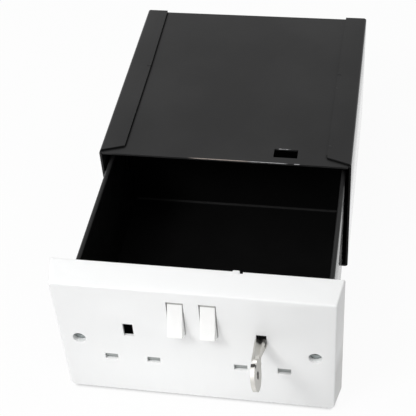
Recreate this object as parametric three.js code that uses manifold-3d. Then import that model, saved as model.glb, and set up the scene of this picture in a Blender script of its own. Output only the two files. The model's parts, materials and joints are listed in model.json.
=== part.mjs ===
// A wall safe disguised as a double switched socket outlet, its drawer pulled out and its key in the lock.
// Millimetres. X to the right, Y to the back, Z up. The origin is the centre of the sleeve's underside.
import * as THREE from 'three';
import * as BufferGeometryUtils from 'three/addons/utils/BufferGeometryUtils.js';
import Module from 'manifold-3d';

const wasm = await Module();
wasm.setup();

// Fits shared by all pieces
const overrun = 1;
const seat = 0.05;
const running = 0.3;
const threadGap = 0.3;

// Faceplate: a moulded tray with draft on its four sides
const plateWidth = 146;
const plateHeight = 86;
const plateDepth = 14.4;
const plateWall = 1.6;
const sideDraft = 2.7;
const topDraft = 2.9;
const plateTopCorner = 1.2;
const plateFootCorner = 2.6;
const cavityCorner = 1;
const plateEdge = 0.7;
const ribThickness = 1.2;
const ribBack = 9;
const ribSide = 53.5;
const ribLow = 24;
const lugWidth = 3.6;
const lugLength = 0.9;
const lugThickness = 1.2;
const lugX = 20.5;
const notchWidth = 1.6;
const notchDepth = 0.9;

// Socket layout on the faceplate, to the pattern of the square-pin outlets
const fixingSpacing = 120.6;
const socketSpacing = 67.3;
const pinSpacing = 22.2;
const earthDrop = 22.2;
const earthHeight = 9.4;
const pinSlotWidth = 6.9;
const pinSlotHeight = 4.4;
const earthSlotWidth = 5.2;
const earthSlotHeight = 9.2;

// Fixing screws of the faceplate
const recessRadius = 3.5;
const recessDepth = 4.45;
const fixingBossRadius = 5.5;
const fixingRadius = 1.75;
const fixingHeadRadius = 3.2;
const fixingHeadHeight = 1.9;
const fixingLength = 19;
const fixingNutFlats = 6;
const fixingNutThickness = 2.6;
const driveSlotWidth = 0.7;
const driveSlotDepth = 0.8;

// Blanks behind the pin slots
const shutterThickness = 1.4;
const shutterMargin = 3.2;
const shutterHeight = 9;
const pegRadius = 1.2;
const pegHeight = 2.4;

// Rockers: sectors that turn in a collar behind their windows
const rockerSpacing = 16.2;
const rockerShift = -0.2;
const windowWidth = 8.6;
const windowHeight = 23.6;
const windowInset = 10;
const rockerPivotDepth = 2.8;
const rockerPlay = 0.35;
const rockerEndPlay = 0.6;
const rockerTilt = 20;
const rockerSunk = 0.6;
const rockerDish = 0.8;
const rockerDraft = 0.4;
const rockerSkin = 1.3;
const rockerSkirt = 42;
const rockerPinRadius = 0.9;
const rockerPinLength = 1.2;
const collarWall = 1.6;
const collarBack = 7.5;

// Drawer tray, folded from sheet
const sheet = 1.2;
const bendRadius = 0.4;
const trayWidth = 133.8;
const trayHeight = 66;
const trayLength = 133.8;
const hemWidth = 2.6;
const hemHeight = 8;
const panelFlange = 11;

// Sleeve, folded from the same sheet
const sleeveWidth = 140;
const sleeveHeight = 78.5;
const sleeveLength = 140;
const flangeFrontWidth = 13.5;
const flangeBackWidth = 12.7;
const flangeTaperStart = 80;
const reliefLength = 2.2;
const reliefWidth = 0.4;
const flangeEndOuter = 1.2;
const flangeEndInner = 6;
const backFlange = 10;
const slotWidth = 13.1;
const slotDepth = 7;
const slotSetback = 4.9;
const slotPlayBehind = 0.5;
const wallHoleRadius = 2.5;
const wallHoleInset = 20;

// Lock
const barrelFront = 2.2;
const barrelRadius = 7;
const threadRadius = 5.5;
const threadEnd = 17.8;
const barrelNutFlats = 14;
const barrelNutThickness = 1.7;
const plugRadius = 3.8;
const tailWidth = 4;
const camRadius = 8;
const camThickness = 2.3;
const crankRadius = 5.5;
const crankPinRadius = 1.5;
const crankPinLength = 4.8;
const crankSweep = 90;
const camScrewRadius = 1.2;
const camScrewHeadRadius = 3.5;
const camScrewHeadHeight = 1;
const camSlotDepth = 0.5;
const camScrewLength = 3.6;
const boltWidth = 12;
const boltThickness = 5;
const boltProud = 0.6;
const boltChamfer = 1;
const yokeWidth = 20;
const yokeTop = 4;
const yokeBottom = 8;
const caseFlange = 6.5;
const caseScrewX = 15;
const caseScrewInset = 4.2;
const caseScrewRadius = 1.5;
const caseScrewHeadRadius = 2.7;
const caseScrewHeadHeight = 1.9;
const caseScrewTip = 1.3;

// Key
const bladeClearance = 0.1;
const bladeThickness = 1.5;
const bladeInside = 12.8;
const keyLean = 8.5;
const bowRadius = 8;
const bowThickness = 2.1;
const bowCentre = 20.8;
const bowHoleRadius = 2;
const bowNickRadius = 2.1;
const bowNickAngle = 109;
const neckHeight = 6;
const bitCount = 3;
const bitPitch = 2.4;
const bitCut = 0.7;
const bitWidth = 1;
const bitSetback = 1.6;
const neckLength = 3;
const shoulderStart = 0.6;
const shoulderEnd = 9.5;
const shoulderHalf = 3.4;

// The drawer's place: how far it is pulled out
const drawerTravel = 90;

// Facets of round faces
const fineSides = 40;
const coarseSides = 24;
const bendSteps = 4;
const cornerSteps = 5;
const edgeSteps = 3;

// Places worked out from the sizes above
const socketX = socketSpacing / 2;
const fixingX = fixingSpacing / 2;
const pinHeight = earthHeight - earthDrop;
const rockerCentre = plateHeight / 2 - windowInset - windowHeight / 2;
const panelFront = plateDepth + seat;
const panelBack = panelFront + sheet;
const drawerY = -(sleeveLength / 2 + drawerTravel + plateDepth);
const drawerZ = plateHeight / 2;
const trayFloor = sheet + running - drawerZ;
const trayTop = trayFloor + trayHeight;
const trayBack = plateDepth + trayLength;
const hemInside = trayWidth / 2 - hemWidth;
const panelHalf = trayWidth / 2 - sheet - seat;
const boltBack = plateDepth + slotSetback + slotDepth - slotPlayBehind;
const boltFront = boltBack - boltThickness;
const camBack = boltFront - running;
const camFront = camBack - camThickness;
const topPanelTop = sleeveHeight - sheet;
const crankDrop = crankRadius * Math.sin(THREE.MathUtils.degToRad(crankSweep / 2));
const crankNear = crankRadius * Math.cos(THREE.MathUtils.degToRad(crankSweep / 2));
const boltThrow = 2 * crankDrop;
const boltTop = topPanelTop + boltProud - drawerZ - earthHeight - boltThrow;
const caseInside = yokeWidth / 2 + running;
const caseBottom = -(yokeBottom + running);
const caseTop = yokeTop + boltThrow + running;
const caseBackInside = boltBack + running;
const fixingHeadFront = recessDepth - seat - fixingHeadHeight;
const bladeAcross = 2 * Math.sqrt((earthSlotWidth / 2 - bladeClearance) ** 2 - (bladeThickness / 2) ** 2);

// Finishes
const blackPaint = new THREE.MeshStandardMaterial({ color: 0x242424, roughness: 0.45, metalness: 0.1 });
const whitePlastic = new THREE.MeshStandardMaterial({ color: 0xf2f2f0, roughness: 0.3, metalness: 0 });
const zincSteel = new THREE.MeshStandardMaterial({ color: 0xa8aaa8, roughness: 0.4, metalness: 1 });
const darkSteel = new THREE.MeshStandardMaterial({ color: 0x2e2e30, roughness: 0.4, metalness: 0.9 });
const nickel = new THREE.MeshStandardMaterial({ color: 0xc6c2ba, roughness: 0.3, metalness: 1 });

// A closed geometry made into a solid that can be cut and joined
function solid(geometry) {
  geometry.deleteAttribute('normal');
  geometry.deleteAttribute('uv');
  const merged = BufferGeometryUtils.mergeVertices(geometry);
  const vertProperties = new Float32Array(merged.attributes.position.array);
  const triVerts = new Uint32Array(merged.index.array);
  return new wasm.Manifold(new wasm.Mesh({ numProp: 3, vertProperties, triVerts }));
}

// A solid turned back into a geometry
function geometryOf(body) {
  const mesh = body.getMesh();
  const geometry = new THREE.BufferGeometry();
  geometry.setAttribute('position', new THREE.BufferAttribute(mesh.vertProperties, mesh.numProp));
  geometry.setIndex(new THREE.BufferAttribute(mesh.triVerts, 1));
  const flat = geometry.toNonIndexed();
  flat.computeVertexNormals();
  return flat;
}

function join(...bodies) {
  return bodies.reduce((whole, body) => whole.add(body));
}

function cut(body, ...tools) {
  return tools.reduce((rest, tool) => rest.subtract(tool), body);
}

// A box between two limits along each axis
function box([x0, x1], [y0, y1], [z0, z1]) {
  const geometry = new THREE.BoxGeometry(x1 - x0, y1 - y0, z1 - z0);
  geometry.translate((x0 + x1) / 2, (y0 + y1) / 2, (z0 + z1) / 2);
  return solid(geometry);
}

// A round bar along Y between two depths, centred at x and z
function barY(radius, [y0, y1], x = 0, z = 0, sides = coarseSides) {
  const geometry = new THREE.CylinderGeometry(radius, radius, y1 - y0, sides);
  geometry.translate(x, (y0 + y1) / 2, z);
  return solid(geometry);
}

// A round bar along X between two places, centred at y and z
function barX(radius, [x0, x1], y = 0, z = 0, sides = coarseSides) {
  const geometry = new THREE.CylinderGeometry(radius, radius, x1 - x0, sides);
  geometry.rotateZ(-Math.PI / 2);
  geometry.translate((x0 + x1) / 2, y, z);
  return solid(geometry);
}

// A shape in X and Z, drawn through from y0 to y1
function prismY(shape, [y0, y1]) {
  const geometry = new THREE.ExtrudeGeometry(shape, { depth: y1 - y0, bevelEnabled: false });
  geometry.rotateX(Math.PI / 2);
  geometry.translate(0, y1, 0);
  return solid(geometry);
}

// A shape in Y and Z, drawn through from x0 to x1
function prismX(shape, [x0, x1]) {
  const geometry = new THREE.ExtrudeGeometry(shape, { depth: x1 - x0, bevelEnabled: false });
  const turn = new THREE.Matrix4();
  turn.makeBasis(new THREE.Vector3(0, 1, 0), new THREE.Vector3(0, 0, 1), new THREE.Vector3(1, 0, 0));
  geometry.applyMatrix4(turn);
  geometry.translate(x0, 0, 0);
  return solid(geometry);
}

// A shape in X and Y, drawn through from z0 to z1
function prismZ(shape, [z0, z1]) {
  const geometry = new THREE.ExtrudeGeometry(shape, { depth: z1 - z0, bevelEnabled: false });
  geometry.translate(0, 0, z0);
  return solid(geometry);
}

// A direction's left-hand normal in the plane of a section
function leftOf(direction) {
  return new THREE.Vector2(-direction.y, direction.x);
}

// The section of a folded sheet. The path runs along the outer face and bends to the left at each corner.
function foldedShape(path) {
  const outer = [];
  const inner = [];
  const last = path.length - 1;
  path.forEach((point, i) => {
    const before = point.clone().sub(path[Math.max(i - 1, 0)]).normalize();
    const after = path[Math.min(i + 1, last)].clone().sub(point).normalize();
    if (i === 0 || i === last) {
      const along = i === 0 ? after : before;
      outer.push(point);
      inner.push(point.clone().addScaledVector(leftOf(along), sheet));
      return;
    }
    const turn = Math.acos(before.dot(after));
    const outerRadius = bendRadius + sheet;
    const start = point.clone().addScaledVector(before, -outerRadius * Math.tan(turn / 2));
    const centre = start.clone().addScaledVector(leftOf(before), outerRadius);
    const first = Math.atan2(start.y - centre.y, start.x - centre.x);
    for (let step = 0; step <= bendSteps; step += 1) {
      const angle = first + turn * step / bendSteps;
      const spoke = new THREE.Vector2(Math.cos(angle), Math.sin(angle));
      outer.push(centre.clone().addScaledVector(spoke, outerRadius));
      inner.push(centre.clone().addScaledVector(spoke, bendRadius));
    }
  });
  return new THREE.Shape([...outer, ...inner.reverse()]);
}

function points(...pairs) {
  return pairs.map(([x, y]) => new THREE.Vector2(x, y));
}

// A rectangle at one depth with round upper and lower corners, anticlockwise as seen from the front
function ring(halfX, halfZ, upper, lower, y) {
  const corners = [[1, -1, lower], [1, 1, upper], [-1, 1, upper], [-1, -1, lower]];
  return corners.flatMap(([sideX, sideZ, radius], corner) => {
    const steps = Array.from({ length: cornerSteps + 1 }, (_, step) => step);
    return steps.map((step) => {
      const angle = (corner - 1 + step / cornerSteps) * Math.PI / 2;
      const x = sideX * (halfX - radius) + radius * Math.cos(angle);
      const z = sideZ * (halfZ - radius) + radius * Math.sin(angle);
      return new THREE.Vector3(x, y, z);
    });
  });
}

// A solid through rings of equal count, from the front to the back
function loft(rings) {
  const count = rings[0].length;
  const last = (rings.length - 1) * count;
  const index = [];
  for (let i = 1; i < count - 1; i += 1) {
    index.push(0, i, i + 1);
    index.push(last, last + i + 1, last + i);
  }
  for (let row = 0; row < last; row += count) {
    for (let i = 0; i < count; i += 1) {
      const next = (i + 1) % count;
      index.push(row + i, row + count + i, row + count + next);
      index.push(row + i, row + count + next, row + next);
    }
  }
  const geometry = new THREE.BufferGeometry().setFromPoints(rings.flat());
  geometry.setIndex(index);
  return solid(geometry);
}

// The plate's half width and half height at a depth
function plateHalves(y) {
  const rise = 1 - y / plateDepth;
  return [plateWidth / 2 - sideDraft * rise, plateHeight / 2 - topDraft * rise];
}

function outerRing(y, inset) {
  const [halfX, halfZ] = plateHalves(y);
  return ring(halfX - inset, halfZ - inset, plateTopCorner - inset, plateFootCorner - inset, y);
}

function cavityRing(y) {
  const [halfX, halfZ] = plateHalves(y);
  return ring(halfX - plateWall, halfZ - plateWall, cavityCorner, cavityCorner, y);
}

function plateShell() {
  const rounding = Array.from({ length: edgeSteps + 1 }, (_, step) => {
    const angle = (1 - step / edgeSteps) * Math.PI / 2;
    return outerRing(plateEdge * (1 - Math.cos(Math.PI / 2 - angle)), plateEdge * (1 - Math.cos(angle)));
  });
  const outer = loft([...rounding, outerRing(plateDepth, 0)]);
  return cut(outer, loft([cavityRing(plateWall), cavityRing(plateDepth + overrun)]));
}

function plateRibs() {
  const depth = [plateWall / 2, ribBack];
  const reach = plateHeight / 2 - topDraft - plateWall / 2;
  const half = ribThickness / 2;
  const collarFoot = rockerCentre - windowHeight / 2 - collarWall;
  return [
    box([-ribSide - half, -ribSide + half], depth, [-reach, reach]),
    box([ribSide - half, ribSide + half], depth, [-reach, reach]),
    box([-ribSide, ribSide], depth, [-ribLow - half, -ribLow + half]),
    box([-half, half], depth, [-reach, collarFoot]),
  ];
}

// The collar behind a rocker's window, with the relief that the rocker turns in
function rockerCollar(x) {
  const halfX = windowWidth / 2 + collarWall;
  const halfZ = windowHeight / 2 + collarWall;
  const height = [rockerCentre - halfZ, rockerCentre + halfZ];
  return box([x - halfX, x + halfX], [plateWall / 2, collarBack], height);
}

const reliefRadius = Math.hypot(windowHeight / 2, rockerPivotDepth);

function rockerCuts(x) {
  const width = [x - windowWidth / 2, x + windowWidth / 2];
  const pinReach = windowWidth / 2 + collarWall + overrun;
  const height = [rockerCentre - windowHeight / 2, rockerCentre + windowHeight / 2];
  return [
    box(width, [-overrun, collarBack + overrun], height),
    barX(reliefRadius, width, rockerPivotDepth, rockerCentre, fineSides),
    barX(rockerPinRadius + running, [x - pinReach, x + pinReach], rockerPivotDepth, rockerCentre),
  ];
}

function slotCut(x, z, width, height) {
  const depth = [-overrun, plateWall + overrun];
  return box([x - width / 2, x + width / 2], depth, [z - height / 2, z + height / 2]);
}

function fixingCuts(x) {
  return [
    barY(recessRadius, [-overrun, recessDepth], x),
    barY(fixingRadius + running, [-overrun, plateDepth + overrun], x),
  ];
}

const rockerPlaces = [rockerShift - rockerSpacing / 2, rockerShift + rockerSpacing / 2];
const socketPlaces = [-socketX, socketX];
const fixingPlaces = [-fixingX, fixingX];
const pinPlaces = socketPlaces.flatMap((x) => [x - pinSpacing / 2, x + pinSpacing / 2]);
const pegReach = pinSpacing / 2 + pinSlotWidth / 2 + shutterMargin / 2;

// The low lug on the rim's back, round at its two ends
function rimLug() {
  const half = lugWidth / 2;
  const back = plateDepth + lugLength;
  const outline = new THREE.Shape(points([half, plateDepth - plateWall], [half, plateDepth]));
  outline.quadraticCurveTo(half, back, half - lugLength, back);
  outline.lineTo(lugLength - half, back);
  outline.quadraticCurveTo(-half, back, -half, plateDepth);
  outline.lineTo(-half, plateDepth - plateWall);
  return prismZ(outline, [plateHeight / 2 - lugThickness, plateHeight / 2]).translate([lugX, 0, 0]);
}

// The notch beside the lug
function rimNotch() {
  const start = lugX + lugWidth / 2;
  const top = plateHeight / 2;
  const depth = [plateDepth - notchDepth, plateDepth + overrun];
  return box([start, start + notchWidth], depth, [top - plateWall - overrun, top + overrun]);
}

function faceplate() {
  const pegs = socketPlaces.flatMap((x) => [x - pegReach, x + pegReach]);
  const solids = [
    ...plateRibs(),
    ...fixingPlaces.map((x) => barY(fixingBossRadius, [plateWall / 2, plateDepth], x)),
    ...rockerPlaces.map(rockerCollar),
    ...pegs.map((x) => barY(pegRadius, [plateWall / 2, plateWall + pegHeight], x, pinHeight)),
    rimLug(),
  ];
  const cuts = [
    ...fixingPlaces.flatMap(fixingCuts),
    ...rockerPlaces.flatMap(rockerCuts),
    ...socketPlaces.map((x) => slotCut(x, earthHeight, earthSlotWidth, earthSlotHeight)),
    ...pinPlaces.map((x) => slotCut(x, pinHeight, pinSlotWidth, pinSlotHeight)),
    rimNotch(),
  ];
  return cut(join(plateShell(), ...solids), ...cuts);
}

// A rocker about its pivot, upright: a hollow sector with a dished face, drafted sides and two stub pins
function rocker() {
  const radius = reliefRadius - rockerEndPlay;
  const tilt = THREE.MathUtils.degToRad(rockerTilt);
  const tip = Math.acos((rockerPivotDepth - rockerSunk) / radius) - tilt;
  const face = -radius * Math.cos(tip);
  const end = tip + THREE.MathUtils.degToRad(rockerSkirt);
  const back = -radius * Math.cos(end);
  const half = windowWidth / 2 - rockerPlay;
  const outline = new THREE.Shape();
  outline.moveTo(face, -radius * Math.sin(tip));
  outline.quadraticCurveTo(face + 2 * rockerDish, 0, face, radius * Math.sin(tip));
  outline.absarc(0, 0, radius, Math.PI - tip, Math.PI - end, true);
  outline.lineTo(back, -radius * Math.sin(end));
  outline.absarc(0, 0, radius, Math.PI + end, Math.PI + tip, true);
  const drafted = new THREE.Shape(points([half, back], [half, 0], [half - rockerDraft, -radius],
    [rockerDraft - half, -radius], [-half, 0], [-half, back]));
  const block = prismX(outline, [-half, half]).intersect(prismZ(drafted, [-radius, radius]));
  const inside = half - rockerDraft - rockerSkin;
  const pocket = barX(radius - rockerSkin, [-inside, inside], 0, 0, fineSides);
  const limit = box([-half, half], [face + rockerDish + rockerSkin, back + overrun], [-radius, radius]);
  const pins = [-1, 1].map((side) => {
    const reach = [side * inside, side * (windowWidth / 2 + rockerPinLength)].sort((a, b) => a - b);
    return barX(rockerPinRadius, reach);
  });
  return join(cut(block, pocket.intersect(limit)), ...pins);
}

// The blank behind a socket's live and neutral slots, held on two pegs
function shutter() {
  const halfX = pinSpacing / 2 + pinSlotWidth / 2 + shutterMargin;
  const halfZ = shutterHeight / 2;
  const front = plateWall + seat;
  const plate = box([-halfX, halfX], [front, front + shutterThickness], [-halfZ, halfZ]);
  const through = [front - overrun, front + shutterThickness + overrun];
  return cut(plate, ...[-pegReach, pegReach].map((x) => barY(pegRadius + running, through, x)));
}

// A flat-topped hexagon along Y
function hexY(flats, depth) {
  return barY(flats / Math.sqrt(3), depth, 0, 0, 6);
}

// The slot across a screw's head
function driveSlot(radius, depth) {
  return box([-radius - overrun, radius + overrun], depth, [-driveSlotWidth / 2, driveSlotWidth / 2]);
}

function fixingScrew() {
  const head = barY(fixingHeadRadius, [fixingHeadFront, recessDepth - seat]);
  const shank = barY(fixingRadius, [fixingHeadFront + driveSlotDepth, fixingHeadFront + fixingLength]);
  const slot = driveSlot(fixingHeadRadius, [fixingHeadFront - overrun, fixingHeadFront + driveSlotDepth]);
  return cut(join(head, shank), slot);
}

function fixingNut() {
  const front = panelBack + seat;
  const nut = hexY(fixingNutFlats, [front, front + fixingNutThickness]);
  return cut(nut, barY(fixingRadius + threadGap, [front - overrun, front + fixingNutThickness + overrun]));
}

function drawerTray() {
  const half = trayWidth / 2;
  const fold = hemWidth / 2;
  const depth = [panelFront, trayBack];
  const wallTop = trayTop - fold;
  const path = points([-half, wallTop], [-half, trayFloor], [half, trayFloor], [half, wallTop]);
  const hems = [-1, 1].flatMap((side) => {
    const width = [side * hemInside, side * half].sort((a, b) => a - b);
    const flat = box(width, depth, [trayTop - hemHeight, wallTop]);
    return [flat, barY(fold, depth, side * (half - fold), wallTop)];
  });
  return join(prismY(foldedShape(path), depth), ...hems);
}

// The room that the tray's hems need at a panel's upper corners
function hemNotches(depth) {
  const height = [trayTop - hemHeight - running, trayTop + overrun];
  const inner = hemInside - running;
  return [box([inner, trayWidth / 2], depth, height), box([-trayWidth / 2, -inner], depth, height)];
}

function drawerFrontPanel() {
  const back = panelFront + panelFlange;
  const path = points([-panelHalf, back], [-panelHalf, panelFront], [panelHalf, panelFront],
    [panelHalf, back]);
  const panel = prismZ(foldedShape(path), [trayFloor + sheet + bendRadius, trayTop]);
  const through = [panelFront - overrun, panelBack + overrun];
  const holes = [
    ...fixingPlaces.map((x) => barY(fixingRadius + running, through, x)),
    barY(threadRadius + running, through, socketX, earthHeight),
    ...caseScrewPlaces.map(([x, z]) => {
      return barY(caseScrewRadius + threadGap, through, socketX + x, earthHeight + z);
    }),
  ];
  return cut(panel, ...hemNotches([panelFront - overrun, back + overrun]), ...holes);
}

function drawerBackPanel() {
  const front = trayBack - panelFlange;
  const path = points([panelHalf, front], [panelHalf, trayBack], [-panelHalf, trayBack], [-panelHalf, front]);
  const panel = prismZ(foldedShape(path), [trayFloor + sheet + bendRadius, trayTop]);
  return cut(panel, ...hemNotches([front - overrun, trayBack + overrun]));
}

// The cuts that trim a top flange of the sleeve on one side: its slanted end, its taper and its relief slit
function flangeTrims(side) {
  const half = sleeveWidth / 2;
  const front = -sleeveLength / 2;
  const slope = (flangeEndInner - flangeEndOuter) / flangeFrontWidth;
  const endAt = (x) => front + flangeEndOuter + slope * (half - x);
  const inner = half - flangeFrontWidth;
  const back = sleeveLength / 2;
  const taper = front + flangeTaperStart;
  const end = points([half + overrun, front - overrun], [half + overrun, endAt(half + overrun)],
    [inner - overrun, endAt(inner - overrun)], [inner - overrun, front - overrun]);
  const strip = points([inner - overrun, taper], [inner, taper], [half - flangeBackWidth, back],
    [half - flangeBackWidth, back + overrun], [inner - overrun, back + overrun]);
  const relief = points([inner - overrun, taper], [inner + reliefLength, taper],
    [inner + reliefLength, taper + reliefWidth], [inner - overrun, taper + reliefWidth]);
  return [end, strip, relief].map((outline) => {
    const turned = outline.map((point) => new THREE.Vector2(side * point.x, point.y));
    return prismZ(new THREE.Shape(turned), [topPanelTop, sleeveHeight + overrun]);
  });
}

function sleeveWrap() {
  const half = sleeveWidth / 2;
  const inner = half - flangeFrontWidth;
  const path = points([-inner, sleeveHeight], [-half, sleeveHeight], [-half, 0], [half, 0],
    [half, sleeveHeight], [inner, sleeveHeight]);
  const wrap = prismY(foldedShape(path), [-sleeveLength / 2, sleeveLength / 2]);
  return cut(wrap, ...flangeTrims(-1), ...flangeTrims(1));
}

function sleeveTopPanel() {
  const half = sleeveWidth / 2 - sheet - bendRadius - seat;
  const height = [topPanelTop - sheet, topPanelTop - seat];
  const slotFront = slotSetback - sleeveLength / 2;
  const slot = box([socketX - slotWidth / 2, socketX + slotWidth / 2], [slotFront, slotFront + slotDepth],
    [topPanelTop - sheet - overrun, topPanelTop + overrun]);
  return cut(box([-half, half], [-sleeveLength / 2, sleeveLength / 2], height), slot);
}

function sleeveBackPanel() {
  const half = sleeveWidth / 2 - sheet - seat;
  const back = sleeveLength / 2;
  const front = back - backFlange;
  const path = points([half, front], [half, back], [-half, back], [-half, front]);
  const panel = prismZ(foldedShape(path), [sheet + bendRadius, topPanelTop - sheet - seat]);
  const holes = [-1, 1].flatMap((sideX) => [-1, 1].map((sideZ) => {
    const x = sideX * (sleeveWidth / 2 - wallHoleInset);
    const z = sleeveHeight / 2 + sideZ * (sleeveHeight / 2 - wallHoleInset);
    return barY(wallHoleRadius, [back - sheet - overrun, back + overrun], x, z);
  }));
  return cut(panel, ...holes);
}

function lockBarrel() {
  const head = barY(barrelRadius, [barrelFront, panelFront - seat], 0, 0, fineSides);
  const thread = barY(threadRadius, [barrelFront, threadEnd], 0, 0, fineSides);
  const bore = [barrelFront - overrun, threadEnd + overrun];
  return cut(join(head, thread), barY(plugRadius + running, bore, 0, 0, fineSides));
}

function lockBarrelNut() {
  const front = panelBack + seat;
  const nut = hexY(barrelNutFlats, [front, front + barrelNutThickness]);
  const bore = [front - overrun, front + barrelNutThickness + overrun];
  return cut(nut, barY(threadRadius + threadGap, bore, 0, 0, fineSides));
}

// A strip turned both ways by 45 degrees: the cross of the key's blade
function crossed(strip) {
  return join(strip.rotate([0, 45, 0]), strip.rotate([0, -45, 0]));
}

const bladeEnd = barrelFront + bladeInside;
const tailEnd = camBack - camScrewHeadHeight - 2 * seat;

function lockPlug() {
  const body = barY(plugRadius, [barrelFront + running, camFront - seat], 0, 0, fineSides);
  const half = tailWidth / 2;
  const tail = box([-half, half], [camFront - overrun, tailEnd], [-half, half]);
  const slitX = bladeAcross / 2 + running;
  const slitZ = bladeThickness / 2 + running;
  const slit = box([-slitX, slitX], [barrelFront - overrun, bladeEnd + running], [-slitZ, slitZ]);
  const tapped = barY(camScrewRadius + threadGap, [tailEnd - camScrewLength, tailEnd + overrun]);
  return cut(join(body, tail), crossed(slit), tapped);
}

// The cam's crank pin stands where the bolt is down, allowing for the lean of the key at rest
function boltCam() {
  const angle = THREE.MathUtils.degToRad(keyLean + crankSweep / 2 - 180);
  const pinX = crankRadius * Math.sin(angle);
  const pin = barY(crankPinRadius, [camFront, camBack + crankPinLength], pinX, crankRadius * Math.cos(angle));
  const half = tailWidth / 2 + running;
  const square = box([-half, half], [camFront - overrun, camBack + overrun], [-half, half]);
  const recess = barY(camScrewHeadRadius + running, [camBack - camScrewHeadHeight - seat, camBack + overrun]);
  const disc = barY(camRadius, [camFront, camBack], 0, 0, fineSides);
  return cut(join(disc, pin), square, recess);
}

function camScrew() {
  const under = camBack - camScrewHeadHeight;
  const head = barY(camScrewHeadRadius, [under, camBack]);
  const shank = barY(camScrewRadius, [tailEnd - camScrewLength + running, camBack - camScrewHeadHeight / 2]);
  return cut(join(head, shank), driveSlot(camScrewHeadRadius, [camBack - camSlotDepth, camBack + overrun]));
}

// A T-shaped bolt with the yoke that the crank pin lifts
function lockBolt() {
  const neck = boltWidth / 2;
  const yoke = yokeWidth / 2;
  const outline = new THREE.Shape(points([-yoke, -yokeBottom], [yoke, -yokeBottom], [yoke, yokeTop],
    [neck, yokeTop], [neck, boltTop - boltChamfer], [neck - boltChamfer, boltTop],
    [boltChamfer - neck, boltTop], [-neck, boltTop - boltChamfer], [-neck, yokeTop], [-yoke, yokeTop]));
  const reach = crankPinRadius + running;
  const slot = box([-crankRadius - reach, -crankNear + reach], [boltFront - overrun, boltBack + overrun],
    [-crankDrop - reach, -crankDrop + reach]);
  return cut(prismY(outline, [boltFront, boltBack]), slot);
}

const caseScrewPlaces = [-caseScrewX, caseScrewX].flatMap((x) => {
  return [caseBottom + caseScrewInset, caseTop - caseScrewInset].map((z) => [x, z]);
});

function lockCase() {
  const front = panelBack + seat;
  const outside = caseInside + sheet;
  const flange = outside + caseFlange;
  const height = [caseBottom - sheet, caseTop + sheet];
  const shell = box([-outside, outside], [front, caseBackInside + sheet], height);
  const ears = box([-flange, flange], [front, front + sheet], [caseBottom, caseTop]);
  const inside = box([-caseInside, caseInside], [front - overrun, caseBackInside], [caseBottom, caseTop]);
  const neck = boltWidth / 2 + running;
  const mouthDepth = [boltFront - running, boltBack + running];
  const mouth = box([-neck, neck], mouthDepth, [caseTop - overrun, caseTop + sheet + overrun]);
  const holes = caseScrewPlaces.map(([x, z]) => {
    return barY(caseScrewRadius + threadGap, [front - overrun, front + sheet + overrun], x, z);
  });
  return cut(join(shell, ears), inside, mouth, ...holes);
}

function caseScrew() {
  const under = panelBack + seat + sheet + seat;
  const back = under + caseScrewHeadHeight;
  const head = barY(caseScrewHeadRadius, [under, back]);
  const shank = barY(caseScrewRadius, [panelFront - caseScrewTip, under + seat]);
  return cut(join(head, shank), driveSlot(caseScrewHeadRadius, [back - driveSlotDepth, back + overrun]));
}

// The key's round bow stands in the plane of its axis, and its blade is a cross of two strips. Their
// shoulders run straight to the bow on one side and taper away on the other
function key() {
  const round = new THREE.Shape().absarc(-bowCentre, 0, bowRadius, 0, 2 * Math.PI, false);
  round.holes.push(new THREE.Path().absarc(-bowCentre, 0, bowHoleRadius, 0, 2 * Math.PI, true));
  const bow = prismX(round, [-bowThickness / 2, bowThickness / 2]);
  const nickAngle = THREE.MathUtils.degToRad(bowNickAngle);
  const nickY = -bowCentre - bowRadius * Math.cos(nickAngle);
  const nick = barX(bowNickRadius, [-bowThickness, bowThickness], nickY, bowRadius * Math.sin(nickAngle));
  const bowNear = bowRadius - bowCentre;
  const neck = box([-bowThickness / 2, bowThickness / 2], [bowNear - neckLength, bowNear + neckLength / 2],
    [-neckHeight / 2, neckHeight / 2]);
  const outline = new THREE.Shape(points([bladeAcross / 2, bladeEnd], [-bladeAcross / 2, bladeEnd],
    [-bladeAcross / 2, -shoulderStart], [-shoulderHalf, -shoulderStart], [-shoulderHalf, bowNear - overrun],
    [bowThickness / 2, bowNear - overrun], [bowThickness / 2, -shoulderEnd],
    [shoulderHalf, -shoulderStart], [bladeAcross / 2, -shoulderStart]));
  const blade = crossed(prismZ(outline, [-bladeThickness / 2, bladeThickness / 2]));
  const bits = Array.from({ length: bitCount }, (_, i) => {
    const y = bladeEnd - bitSetback - i * bitPitch;
    const depth = [y - bitWidth / 2, y + bitWidth / 2];
    const tool = box([bladeAcross / 2 - bitCut, bladeAcross], depth, [-bladeThickness, bladeThickness]);
    return tool.rotate([0, 45 + 90 * i, 0]);
  });
  return cut(join(bow, neck, blade), nick, ...bits);
}

// Assembly
const safe = new THREE.Group();
const drawer = new THREE.Group();
drawer.position.set(0, drawerY, drawerZ);
const lock = new THREE.Group();
lock.position.set(socketX, 0, earthHeight);
const turning = new THREE.Group();
turning.rotation.y = -THREE.MathUtils.degToRad(keyLean);
safe.add(drawer);
drawer.add(lock);
lock.add(turning);

function place(group, name, body, material, x = 0, z = 0) {
  const mesh = new THREE.Mesh(geometryOf(body), material);
  mesh.name = name;
  mesh.position.set(x, 0, z);
  group.add(mesh);
}

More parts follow.
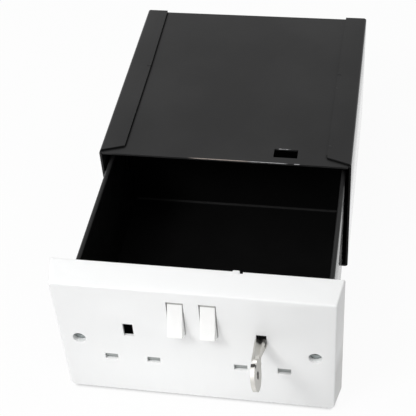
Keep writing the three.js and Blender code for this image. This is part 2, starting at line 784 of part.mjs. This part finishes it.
place(safe, 'sleeve_wrap', sleeveWrap(), blackPaint);
place(safe, 'sleeve_top_panel', sleeveTopPanel(), blackPaint);
place(safe, 'sleeve_back_panel', sleeveBackPanel(), blackPaint);
place(drawer, 'drawer_tray', drawerTray(), blackPaint);
place(drawer, 'drawer_front_panel', drawerFrontPanel(), blackPaint);
place(drawer, 'drawer_back_panel', drawerBackPanel(), blackPaint);
place(drawer, 'socket_faceplate', faceplate(), whitePlastic);
['left', 'right'].forEach((side, i) => {
  place(drawer, `faceplate_screw_${side}`, fixingScrew(), zincSteel, fixingPlaces[i]);
  place(drawer, `faceplate_nut_${side}`, fixingNut(), zincSteel, fixingPlaces[i]);
  place(drawer, `shutter_${side}`, shutter(), whitePlastic, socketPlaces[i], pinHeight);
  const pivot = new THREE.Group();
  pivot.position.set(rockerPlaces[i], rockerPivotDepth, rockerCentre);
  pivot.rotation.x = -THREE.MathUtils.degToRad(rockerTilt);
  drawer.add(pivot);
  place(pivot, `rocker_${side}`, rocker(), whitePlastic);
});
place(lock, 'lock_case', lockCase(), darkSteel);
caseScrewPlaces.forEach(([x, z], i) => {
  place(lock, `lock_case_screw_${i + 1}`, caseScrew(), zincSteel, x, z);
});
place(lock, 'lock_barrel', lockBarrel(), darkSteel);
place(lock, 'lock_barrel_nut', lockBarrelNut(), zincSteel);
place(lock, 'lock_bolt', lockBolt(), zincSteel);
place(turning, 'lock_plug', lockPlug(), darkSteel);
place(turning, 'bolt_cam', boltCam(), zincSteel);
place(turning, 'cam_screw', camScrew(), zincSteel);
place(turning, 'key', key(), nickel);

export default safe;
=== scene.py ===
# An outlet diversion safe with its drawer out: finishes, rounded edges, studio and camera. Metres.
import json
import math
import bmesh
import bpy
from mathutils import Matrix, Vector


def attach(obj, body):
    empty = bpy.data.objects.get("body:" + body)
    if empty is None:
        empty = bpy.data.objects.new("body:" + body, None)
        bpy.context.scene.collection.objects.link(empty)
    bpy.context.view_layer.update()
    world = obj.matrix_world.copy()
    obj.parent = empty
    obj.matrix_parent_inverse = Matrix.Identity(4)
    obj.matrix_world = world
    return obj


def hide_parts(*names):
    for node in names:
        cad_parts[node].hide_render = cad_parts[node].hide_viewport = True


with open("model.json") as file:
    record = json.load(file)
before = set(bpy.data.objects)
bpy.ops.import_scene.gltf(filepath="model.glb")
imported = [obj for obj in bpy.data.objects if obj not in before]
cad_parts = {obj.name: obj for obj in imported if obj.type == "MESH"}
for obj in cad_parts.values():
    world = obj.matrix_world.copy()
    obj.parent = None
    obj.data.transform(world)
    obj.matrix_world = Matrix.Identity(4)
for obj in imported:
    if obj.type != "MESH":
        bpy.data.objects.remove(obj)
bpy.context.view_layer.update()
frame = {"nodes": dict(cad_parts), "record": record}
scene = bpy.context.scene
bodies = {node: body for body, nodes in frame["record"]["behaviour"]["bodies"].items() for node in nodes}

# Axes

X = 0
Y = 1
Z = 2


# Node graphs

class Graph:
    """The node tree of a material or world, with short calls for the nodes that they share."""

    def __init__(self, owner, output="OutputMaterial"):
        owner.use_nodes = True
        self.owner = owner
        self.tree = owner.node_tree
        self.tree.nodes.clear()
        self.out = self.node(output)
        self.place = self.node("TexCoord").outputs["Object"]

    def node(self, kind, inputs=(), **settings):
        """A new node. Each input is set to a value, or linked where a socket is given."""
        made = self.tree.nodes.new("ShaderNode" + kind)
        for key, value in settings.items():
            setattr(made, key, value)
        for key, value in dict(inputs).items():
            self.send(value, made.inputs[key])
        return made

    def send(self, value, socket):
        if isinstance(value, bpy.types.NodeSocket):
            self.tree.links.new(value, socket)
        else:
            socket.default_value = value

    def show(self, shader):
        """Makes a shader node the surface, and gives back the material or world."""
        self.send(shader.outputs[0], self.out.inputs["Surface"])
        return self.owner

    def noise(self, scale, detail=3, stretch=None, rough=0.5):
        place = self.place
        if stretch:
            place = self.node("Mapping", {"Vector": place, "Scale": stretch}).outputs[0]
        sent = {"Vector": place, "Scale": scale, "Detail": detail, "Roughness": rough}
        return self.node("TexNoise", sent).outputs["Fac"]

    def band(self, value, low, high, out_low=0.0, out_high=1.0):
        """The value's range from low to high, laid over the range from out_low to out_high."""
        sent = {"Value": value, "From Min": low, "From Max": high, "To Min": out_low, "To Max": out_high}
        return self.node("MapRange", sent).outputs[0]

    def math(self, operation, a, b=0.0):
        return self.node("Math", {0: a, 1: b}, operation=operation).outputs[0]

    def mix(self, factor, a, b):
        """A colour between a and b, each a colour or a socket."""
        made = self.node("Mix", {"Factor": factor}, data_type="RGBA")
        for key, value in (("A_Color", a), ("B_Color", b)):
            socket = next(s for s in made.inputs if s.identifier == key)
            self.send((*value, 1) if isinstance(value, tuple) else value, socket)
        return next(s for s in made.outputs if s.identifier == "Result_Color")

    def lay(self, colour, tint, mask, strength):
        """The colour with a tint laid over it where the mask is."""
        return self.mix(self.math("MULTIPLY", mask, strength), colour, tint)

    def bump(self, height, strength, distance, below=None):
        sent = {"Height": height, "Strength": strength, "Distance": distance}
        if below is not None:
            sent["Normal"] = below
        return self.node("Bump", sent).outputs[0]

    def slab(self, axis, centre, half, soft):
        """1 inside a slab across one axis, falling to 0 over a soft edge."""
        parts = self.node("SeparateXYZ", {0: self.place}).outputs
        away = self.math("ABSOLUTE", self.math("SUBTRACT", parts[axis], centre))
        return self.band(away, half, half + soft, out_low=1.0, out_high=0.0)

    def near(self, point, radius, soft):
        """1 within a radius of a point, falling to 0 over a soft edge."""
        away = self.node("VectorMath", {0: self.place, 1: point}, operation="DISTANCE").outputs["Value"]
        return self.band(away, radius, radius + soft, out_low=1.0, out_high=0.0)

    def all_of(self, *masks):
        whole = masks[0]
        for mask in masks[1:]:
            whole = self.math("MULTIPLY", whole, mask)
        return whole

    def open_air(self, reach):
        """1 in the open, falling to 0 in gaps that are narrower than the reach."""
        return self.node("AmbientOcclusion", {"Distance": reach}).outputs["AO"]

    def seen(self):
        """1 for what the camera sees, straight or in gloss and glass, and 0 for light on surfaces."""
        rays = self.node("LightPath").outputs
        sharp = self.math("MAXIMUM", rays["Is Camera Ray"], rays["Is Glossy Ray"])
        return self.math("MAXIMUM", sharp, rays["Is Transmission Ray"])


def scaled(tint, share):
    return tuple(c * share for c in tint)


# Kinds of finish

enamel_dark = (0.0225, 0.0225, 0.0228)
enamel_light = (0.0291, 0.0291, 0.0294)
dust_tint = (0.09, 0.088, 0.084)
hairline_tint = (0.08, 0.08, 0.08)
# Painted shade in narrow gaps of the enamel: a near-black tint, the reach and range of the occlusion that
# finds the gaps, and how far their gloss is dimmed.
gap_shade_tint = (0.002, 0.002, 0.002)
gap_shade_reach = 0.0018
gap_shade_range = {"low": 0.5, "high": 0.95}
gap_shade_dulling = 0.85
# Olive grey of painted shade on the white plastic.
plastic_shade_tint = (0.16, 0.16, 0.14)
# Near-black of painted shade on metal.
metal_shade_tint = (0.02, 0.019, 0.018)


def black_paint(name, wear_and_painted_light=(), welds=(), shade_scale=1.0, coat=1.0, gap_shade=1.0):
    """Black stove enamel: a smooth gloss over faint orange peel, dust and hairlines.

    Its list of marks holds the mask, tint and noise threshold of each place with chipped wear, and also of
    painted highlights and painted shade; welds holds the weld dimples.
    The colour scale darkens the colour as painted shade, coat scales the gloss, and the gap shade sets how
    much painted shade darkens narrow gaps and dims their gloss.
    """
    g = Graph(bpy.data.materials.new(name))
    cloud = g.band(g.noise(scale=18, detail=4), low=0.36, high=0.64)
    colour = g.mix(cloud, scaled(enamel_dark, shade_scale), scaled(enamel_light, shade_scale))
    dust = g.band(g.noise(scale=2600, detail=2), low=0.7, high=0.8)
    colour = g.lay(colour, dust_tint, dust, strength=0.14 * shade_scale)
    hair = g.band(g.noise(scale=90, detail=6, stretch=(1, 14, 3), rough=0.7), low=0.67, high=0.71)
    colour = g.lay(colour, hairline_tint, hair, strength=0.08 * shade_scale)
    for mask, tint, threshold in wear_and_painted_light:
        patch_cover = g.band(g.noise(scale=620, detail=4, rough=0.7), low=threshold, high=threshold + 0.1)
        colour = g.mix(g.all_of(mask(g), patch_cover), colour, tint)
    roughness = g.band(g.noise(scale=55, detail=5), low=0.3, high=0.7, out_low=0.3, out_high=0.44)
    peel = g.bump(g.noise(scale=820, detail=2), strength=0.16, distance=0.0003)
    normal = g.bump(g.noise(scale=3600, detail=2), strength=0.1, distance=0.0001, below=peel)
    for point in welds:
        dimple = g.near(point, radius=0.0007, soft=0.0008)
        normal = g.bump(dimple, strength=0.5, distance=0.0003, below=normal)
    # Painted shade: narrow gaps are darkened and their gloss dimmed where ambient occlusion finds them
    # closed in, except in the right flange's joint.
    unshaded = g.math("MAXIMUM", g.open_air(gap_shade_reach), joint_left_unshaded(g))
    colour = g.mix(g.band(unshaded, **gap_shade_range, out_low=1 - gap_shade), gap_shade_tint, colour)
    shaded_shine = (1 - gap_shade_dulling * gap_shade) * coat
    shine = g.band(unshaded, **gap_shade_range, out_low=shaded_shine, out_high=coat)
    sent = {"Base Color": colour, "Roughness": roughness, "Normal": normal, "Coat Weight": shine}
    fixed = {"Specular IOR Level": 0.06, "Coat Roughness": 0.03, "Coat IOR": 1.125}
    return g.show(g.node("BsdfPrincipled", {**sent, **fixed}))


def plastic(name, tint, painted_shade_marks=()):
    """Glossy moulded plastic: a faint cloud of the pigment, fine specks and pores, and painted shade by
    mask.
    """
    g = Graph(bpy.data.materials.new(name))
    colour = g.mix(g.noise(scale=30, detail=2), tint, scaled(tint, 0.985))
    speck = g.band(g.noise(scale=3000, detail=2), low=0.6, high=0.8, out_high=0.02)
    colour = g.mix(speck, colour, scaled(tint, 0.8))
    for mask, strength in painted_shade_marks:
        colour = g.lay(colour, plastic_shade_tint, mask(g), strength)
    roughness = g.band(g.noise(scale=300), low=0.3, high=0.7, out_low=0.285, out_high=0.33)
    pores = g.bump(g.noise(scale=1400, detail=2), strength=0.03, distance=0.00004)
    sent = {"Base Color": colour, "Roughness": roughness, "Normal": pores}
    translucent = {"Subsurface Weight": 0.4, "Subsurface Scale": 0.002, "Subsurface Radius": (1, 1, 1)}
    return g.show(g.node("BsdfPrincipled", {**sent, **translucent}))


def metal(name, tint, rough, stretch=(1, 1, 1), stain=0.25, painted_shade_places=()):
    """Plated metal: cloudy tarnish, drawn scratches, a little pitting, and dark painted shade by mask."""
    g = Graph(bpy.data.materials.new(name))
    tarnish = g.noise(scale=140, detail=5, rough=0.6)
    colour = g.mix(tarnish, tint, scaled(tint, 1 - stain))
    scratch = g.noise(scale=900, detail=4, stretch=stretch, rough=0.7)
    colour = g.mix(g.band(scratch, low=0.62, high=0.72, out_high=0.35), colour, scaled(tint, 0.55))
    for mask, strength in painted_shade_places:
        colour = g.lay(colour, metal_shade_tint, mask(g), strength)
    smoother = rough - 0.07
    rougher = rough + 0.1
    roughness = g.band(g.noise(scale=260, detail=4), low=0.3, high=0.7, out_low=smoother, out_high=rougher)
    drawn = g.bump(scratch, strength=0.14, distance=0.00006)
    pits = g.bump(g.noise(scale=2800, detail=2), strength=0.08, distance=0.00005, below=drawn)
    sent = {"Base Color": colour, "Roughness": roughness, "Normal": pits}
    return g.show(g.node("BsdfPrincipled", {**sent, "Metallic": 1.0}))


# Marked places, at rest in the CAD model

sleeve_front = -0.07
panel_face = 0.0773
flange_face = 0.0785
slot_rear = -0.0581
lock_x = 0.03365
weld_points = [(0.0564, -0.0031, flange_face), (0.0573, -0.0553, flange_face)]


def joint_left_unshaded(g):
    """The right flange's joint behind its front end, which the photo shows without a dark line; the painted
    gap shade is left out there.
    """
    across = g.slab(X, centre=0.07, half=0.03, soft=0.002)
    return g.all_of(across, g.slab(Y, centre=0.07, half=0.1305, soft=0.001))


def rubbed(y, half_y, x, half_x, fade):
    """A worn line along an edge of the sleeve's top panel."""
    def mask(g):
        across = g.slab(Y, y, half_y, soft=0.0002)
        along = g.slab(X, x, half_x, fade)
        return g.all_of(across, along, g.slab(Z, panel_face, half=0.0002, soft=0.0002))
    return mask


def rear_wall_foot_highlight(g):
    """The faint pale line where the drawer's rear wall stands on its floor: a painted highlight."""
    across = g.slab(Y, centre=-0.0275, half=0.0004, soft=0.0003)
    return g.all_of(across, g.slab(Z, centre=0.0032, half=0.0005, soft=0.0003))


def right_wall_end_shade(g):
    """The front end of the sleeve's right wall, made near-black as painted shade."""
    across = g.slab(Y, centre=-0.0715, half=0.002, soft=0.0001)
    return g.all_of(across, g.slab(X, centre=0.0705, half=0.002, soft=0.0001))


def plate_foot_shade(g):
    """The plate's lower edge, with a thin line of painted shade."""
    along = g.slab(X, centre=0.006, half=0.058, soft=0.012)
    return g.all_of(along, g.slab(Z, centre=0, half=0.0005, soft=0.0003))


def plate_side_shade(g):
    """The lower part of the plate's right side, darkened as painted shade."""
    side = g.slab(X, centre=0.0735, half=0.0035, soft=0.0002)
    low = g.slab(Z, centre=0, half=0.03, soft=0.014)
    return g.all_of(side, low, g.slab(Y, centre=-0.162, half=0.0118, soft=0.0002))


def rocker_top_shade(g):
    """The upper end of each rocker, with a line of painted shade."""
    return g.slab(Z, centre=0.0751, half=0.0005, soft=0.0003)


def key_blade_shade(g):
    """The key's blade inside the plate, darkened as painted shade."""
    return g.slab(Y, centre=-0.166, half=0.0084, soft=0.0008)


def blade_middle_shade(g):
    """The middle of the blade where it leaves the plate, darkened as painted shade."""
    across = g.slab(X, lock_x, half=0.0022, soft=0.0004)
    return g.all_of(across, g.slab(Y, centre=-0.174, half=0.0024, soft=0.0012))


def bow_nick_shade(g):
    """The nick in the edge of the key's bow, darkened as painted shade."""
    return g.near((0.0325, -0.1946, 0.0596), radius=0.0018, soft=0.0006)


def bow_hole_shade(g):
    """The hole in the key's bow, darkened as painted shade."""
    return g.near((lock_x, -0.1952, 0.0524), radius=0.0021, soft=0.0004)


# Finishes by node

primer = (0.36, 0.31, 0.28)
bare_steel = (0.4, 0.4, 0.41)
# Grey of a painted highlight.
painted_highlight_grey = (0.037, 0.037, 0.037)
# Black of painted shade.
end_shade_black = (0.002, 0.002, 0.002)
panel_wear = [
    (rubbed(sleeve_front, half_y=0.0003, x=-0.0015, half_x=0.0125, fade=0.006), primer, 0.3),
    (rubbed(sleeve_front, half_y=0.0002, x=0.0245, half_x=0.0085, fade=0.003), bare_steel, 0.3),
    (rubbed(sleeve_front, half_y=0.0002, x=0.0405, half_x=0.0012, fade=0.0005), bare_steel, 0.2),
    (rubbed(slot_rear, half_y=0.0002, x=0.0325, half_x=0.0026, fade=0.0008), bare_steel, 0.4),
]
# Painted shade on the key: its blade inside and at the plate, and the nick and hole in its bow.
key_painted_shade = [(key_blade_shade, 0.8), (blade_middle_shade, 0.85), (bow_nick_shade, 0.92), (bow_hole_shade, 0.8)]

paint = black_paint("black_enamel")
# Painted highlight: a pale line at the foot of the drawer's rear wall.
tray_highlight = [(rear_wall_foot_highlight, painted_highlight_grey, 0.2)]
# Painted shade: the drawer takes a copy of the enamel five times darker, and its upward hem faces a nearly
# undarkened lit copy.
tray_paint_shaded = black_paint("black_enamel_drawer_shaded", tray_highlight, shade_scale=0.2, coat=0.6, gap_shade=0.0)
hem_paint_lit = black_paint("black_enamel_hem_lit", shade_scale=0.9, coat=0.9, gap_shade=0.0)
panel_paint = black_paint("black_enamel_worn_edges", panel_wear)
# The sleeve's wrap carries near-black painted shade on its right wall's front end.
wrap_paint = black_paint("black_enamel_spot_welded", [(right_wall_end_shade, end_shade_black, 0.0)], weld_points)
plate_plastic = plastic("white_plate_plastic", (0.84, 0.845, 0.845), [(plate_foot_shade, 0.6), (plate_side_shade, 0.34)])
rocker_plastic = plastic("white_rocker_plastic", (0.9, 0.9, 0.89), [(rocker_top_shade, 0.7)])
shutter_plastic = plastic("grey_shutter_plastic", (0.34, 0.36, 0.355))
zinc = metal("zinc_plate", (0.56, 0.57, 0.57), rough=0.37)
dark = metal("dark_plate", (0.085, 0.085, 0.09), rough=0.38)
screw_steel = metal("dull_screw_steel", (0.36, 0.39, 0.39), rough=0.4)
nickel = metal("worn_nickel", (0.64, 0.63, 0.6), rough=0.55, stretch=(1, 0.15, 1), stain=0.2, painted_shade_places=key_painted_shade)

finishes = {
    "sleeve_wrap": wrap_paint, "sleeve_top_panel": panel_paint, "sleeve_back_panel": paint,
    "drawer_tray": tray_paint_shaded, "drawer_front_panel": tray_paint_shaded, "drawer_back_panel": tray_paint_shaded,
    "socket_faceplate": plate_plastic, "rocker_left": rocker_plastic, "rocker_right": rocker_plastic,
    "shutter_left": shutter_plastic, "shutter_right": shutter_plastic,
    "faceplate_screw_left": screw_steel, "faceplate_screw_right": screw_steel,
    "lock_case": dark, "lock_barrel": dark, "lock_plug": dark, "key": nickel,
}
for name, node in frame["nodes"].items():
    for place in node.material_slots:
        place.material = finishes.get(name, zinc)


# Broken edges, on copies of the frame's solids that show in their place

weld_distance = 2e-6
flat_within = math.radians(0.6)
edge_from = math.radians(32)
edge_segments = 2
hem_from = 0.06
upward_from = 0.3
edge_widths = {
    "sleeve_wrap": 0.00022, "sleeve_top_panel": 0.0002, "drawer_tray": 0.00022, "socket_faceplate": 0.00022,
    "rocker_left": 0.0003, "rocker_right": 0.0003, "key": 0.0003, "lock_bolt": 0.0003, "lock_case": 0.0004,
}


def rounded(name, width, top_material=None):
    """A copy of a node with its flat faces joined up and its edges broken, to show in its place.

    A top material goes on its upward faces that lie above hem_from.
    """
    mesh = frame["nodes"][name].data.copy()
    work = bmesh.new()
    work.from_mesh(mesh)
    bmesh.ops.remove_doubles(work, verts=work.verts, dist=weld_distance)
    bmesh.ops.dissolve_limit(work, angle_limit=flat_within, verts=work.verts, edges=work.edges)
    for face in work.faces:
        face.smooth = True
        if top_material and face.normal.z > upward_from and face.calc_center_median().z > hem_from:
            face.material_index = 1
    work.to_mesh(mesh)
    work.free()
    if "custom_normal" in mesh.attributes:
        mesh.attributes.remove(mesh.attributes["custom_normal"])
    if top_material:
        mesh.materials.append(top_material)
    piece = bpy.data.objects.new(name + "_finished", mesh)
    scene.collection.objects.link(piece)
    edge = piece.modifiers.new("edge", "BEVEL")
    edge.width = width
    edge.segments = edge_segments
    edge.limit_method = "ANGLE"
    edge.angle_limit = edge_from
    edge.harden_normals = True
    edge.use_clamp_overlap = True
    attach(piece, bodies[name])
    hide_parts(name)


for name, width in edge_widths.items():
    # The drawer's upward hem faces get the lit copy of the enamel, the rest of the drawer the shaded copy.
    rounded(name, width, hem_paint_lit if name == "drawer_tray" else None)


# Floor, nearly white to the camera, with some of the object's shadow and a thin painted contact shade

floor_half = 4
floor_level = -0.0002
floor_tint = (0.75, 0.75, 0.75, 1)
floor_white = 0.95
contact_reach = 0.003
painted_contact_shade_tint = (0.08, 0.08, 0.08)
white = (1, 1, 1)


def floor_material():
    g = Graph(bpy.data.materials.new("floor_white"))
    lit = g.node("BsdfDiffuse", {"Color": floor_tint})
    under_plate = g.slab(Y, centre=-0.2, half=0.05, soft=0.01)
    beside_plate = g.all_of(under_plate, g.slab(X, centre=0, half=0.05, soft=0.024))
    contact = g.math("MAXIMUM", g.open_air(contact_reach), g.math("SUBTRACT", 1.0, beside_plate))
    shade = g.mix(g.band(contact, low=0.5, high=0.9), painted_contact_shade_tint, white)
    glow = g.node("Emission", {"Color": shade, "Strength": 1.0})
    share = g.math("MULTIPLY", g.seen(), floor_white)
    return g.show(g.node("MixShader", {0: share, 1: lit.outputs[0], 2: glow.outputs[0]}))


corners = [(x * floor_half, y * floor_half, floor_level) for x, y in ((-1, -1), (1, -1), (1, 1), (-1, 1))]
mesh = bpy.data.meshes.new("floor")
mesh.from_pydata(corners, [], [(0, 1, 2, 3)])
mesh.materials.append(floor_material())
plane = bpy.data.objects.new("floor", mesh)
scene.collection.objects.link(plane)


# World and lamps

ambient_strength = 0.44
background_strength = 1.0

world = bpy.data.worlds.new("studio")
scene.world = world
g = Graph(world, "OutputWorld")
ambient = g.node("Background", {"Color": (*white, 1), "Strength": ambient_strength})
background = g.node("Background", {"Color": (*white, 1), "Strength": background_strength})
g.show(g.node("MixShader", {0: g.seen(), 1: ambient.outputs[0], 2: background.outputs[0]}))


def lamp(name, place, aim, size, power):
    """An area lamp that the camera doesn't see. Power in watts."""
    light = bpy.data.lights.new(name, "AREA")
    light.shape = "RECTANGLE"
    light.size, light.size_y = size
    light.energy = power
    made = bpy.data.objects.new(name, light)
    made.location = place
    made.rotation_euler = (Vector(aim) - Vector(place)).to_track_quat("-Z", "Y").to_euler()
    made.visible_camera = False
    scene.collection.objects.link(made)


plate_middle = (0, -0.17, 0.04)
drawer_middle = (-0.05, -0.15, 0.04)
plate_low = (-0.015, -0.17, 0.02)
lamp("key_light", (-0.36, -0.56, 0.72), plate_middle, size=(0.26, 0.26), power=3.9)
lamp("front_fill", (0.15, -1.7, 0.4), plate_middle, size=(1.0, 0.8), power=0.75)
lamp("overhead", (-0.1, -0.4, 1.15), drawer_middle, size=(0.5, 0.4), power=2.45)
lamp("low_fill", (-0.015, -0.24, 0.006), plate_low, size=(0.12, 0.02), power=0.017)


# Camera, from a fit to the photograph

right = Vector((0.9853, 0.1595, -0.0607))
down = Vector((0.067, -0.6886, -0.722))
forward = Vector((-0.1569, 0.7074, -0.6892))
place = Vector((0.08838, -0.51628, 0.47463))
lens_pixels = 1100.82
image_pixels = 416
data = bpy.data.cameras.new("camera")
data.sensor_fit = "HORIZONTAL"
data.sensor_width = 36
data.lens = lens_pixels * data.sensor_width / image_pixels
camera = bpy.data.objects.new("camera", data)
turn = Matrix((right, -down, -forward)).transposed().to_4x4()
camera.matrix_world = Matrix.Translation(place) @ turn
scene.collection.objects.link(camera)
scene.camera = camera

scene.view_settings.view_transform = "Standard"
